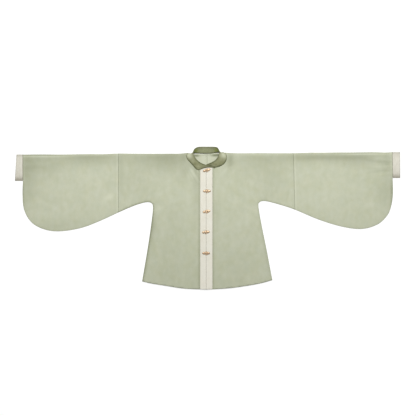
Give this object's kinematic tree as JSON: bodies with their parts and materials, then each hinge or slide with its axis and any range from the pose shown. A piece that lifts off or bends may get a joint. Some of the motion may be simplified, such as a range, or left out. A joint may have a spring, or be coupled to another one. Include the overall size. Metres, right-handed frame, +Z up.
{
  "type": "hanfu stand-collar jacket",
  "caption": "Stand-collar short jacket with wide rounded sleeves, contrast cuffs and front band, and metal clasps, laid flat and face up.",
  "frame": {"origin": "middle of the bounding box's underside, on the surface that the jacket lies on", "axes": "+X along the sleeve span to the wearer's left cuff, +Y from the hem to the collar, +Z up out of the front"},
  "size_m": [1.849, 0.685, 0.0312],
  "materials": {
    "sage_cloth": "soft satin weave",
    "cream_trim": "faintly striped silk",
    "olive_collar": "soft satin weave",
    "copper": "satin copper-gold plate"
  },
  "bodies": {
    "root": {"body_left": "sage_cloth", "body_right": "sage_cloth", "sleeve_left": "sage_cloth", "sleeve_right": "sage_cloth", "cuff_left": "cream_trim", "cuff_right": "cream_trim", "placket_left": "cream_trim", "placket_right": "cream_trim", "collar": "olive_collar", "clasp_1_left": "copper", "clasp_1_right": "copper", "clasp_2_left": "copper", "clasp_2_right": "copper", "clasp_3_left": "copper", "clasp_3_right": "copper", "clasp_4_left": "copper", "clasp_4_right": "copper", "clasp_5_left": "copper", "clasp_5_right": "copper"}
  },
  "joints": []
}
